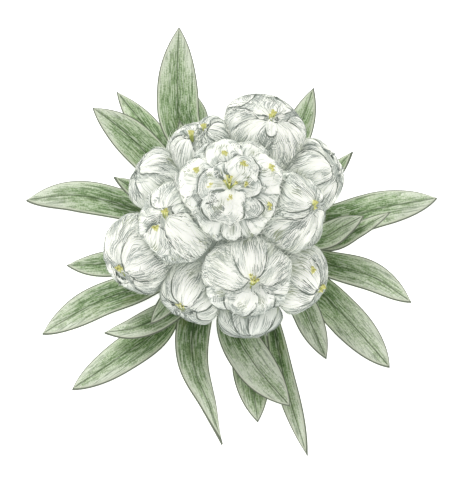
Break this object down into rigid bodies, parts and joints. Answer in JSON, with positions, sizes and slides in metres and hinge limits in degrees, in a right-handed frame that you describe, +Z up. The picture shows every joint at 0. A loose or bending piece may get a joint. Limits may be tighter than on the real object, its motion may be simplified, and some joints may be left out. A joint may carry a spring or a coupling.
{
  "type": "woolly cut flower cluster",
  "caption": "Cut cluster of a small woolly herb, lying face up: plump white woolly flower heads with yellow floret tufts, packed above a rosette of narrow pointed green leaves.",
  "frame": {"origin": "on the resting surface, below the middle of the cluster's width and depth", "axes": "+Z up, out of the cluster's face; +Y towards the back of the cluster, which is the top of the picture; +X to the picture's right"},
  "size_m": [0.0526, 0.0556, 0.0261],
  "materials": {
    "leaf": "matt grey-green leaf with a pale margin and a faint midrib",
    "wool": "soft off-white wool on overlapping bracts",
    "floret": "matt yellow-green florets",
    "stem": "pale woolly stem with a green cut face"
  },
  "bodies": {
    "root": {"stem": "stem", "leaf_n": "leaf", "leaf_n_low": "leaf", "leaf_n_small": "leaf", "leaf_nw_low": "leaf", "leaf_nw": "leaf", "leaf_w_small": "leaf", "leaf_w": "leaf", "leaf_wsw": "leaf", "leaf_sw": "leaf", "leaf_sw_near": "leaf", "leaf_sw_small": "leaf", "leaf_sw_low": "leaf", "leaf_s_twisted": "leaf", "leaf_s_broad": "leaf", "leaf_s_low": "leaf", "leaf_s_curled": "leaf", "leaf_se_small": "leaf", "leaf_se": "leaf", "leaf_ese": "leaf", "leaf_e_long": "leaf", "leaf_e_folded": "leaf", "leaf_e_top": "leaf", "leaf_ene_small": "leaf", "leaf_ne": "leaf", "head_crown": "wool", "florets_crown_1": "floret", "florets_crown_2": "floret", "florets_crown_3": "floret", "florets_crown_4": "floret", "florets_crown_5": "floret", "florets_crown_6": "floret", "florets_crown_7": "floret", "florets_crown_8": "floret", "florets_crown_9": "floret", "head_left": "wool", "florets_left_1": "floret", "florets_left_2": "floret", "head_front": "wool", "florets_front_1": "floret", "head_right": "wool", "florets_right_1": "floret", "head_back_right": "wool", "florets_back_right_1": "floret", "head_back": "wool", "florets_back_1": "floret", "head_back_left": "wool", "florets_back_left_1": "floret", "head_upper_left": "wool", "head_lower_right": "wool", "florets_lower_right_1": "floret", "florets_lower_right_2": "floret", "head_far_right": "wool", "head_lower_left": "wool", "florets_lower_left_1": "floret", "head_far_left": "wool", "florets_far_left_1": "floret", "head_low_front": "wool", "head_hidden_right": "wool", "head_hidden_left": "wool"}
  },
  "joints": []
}
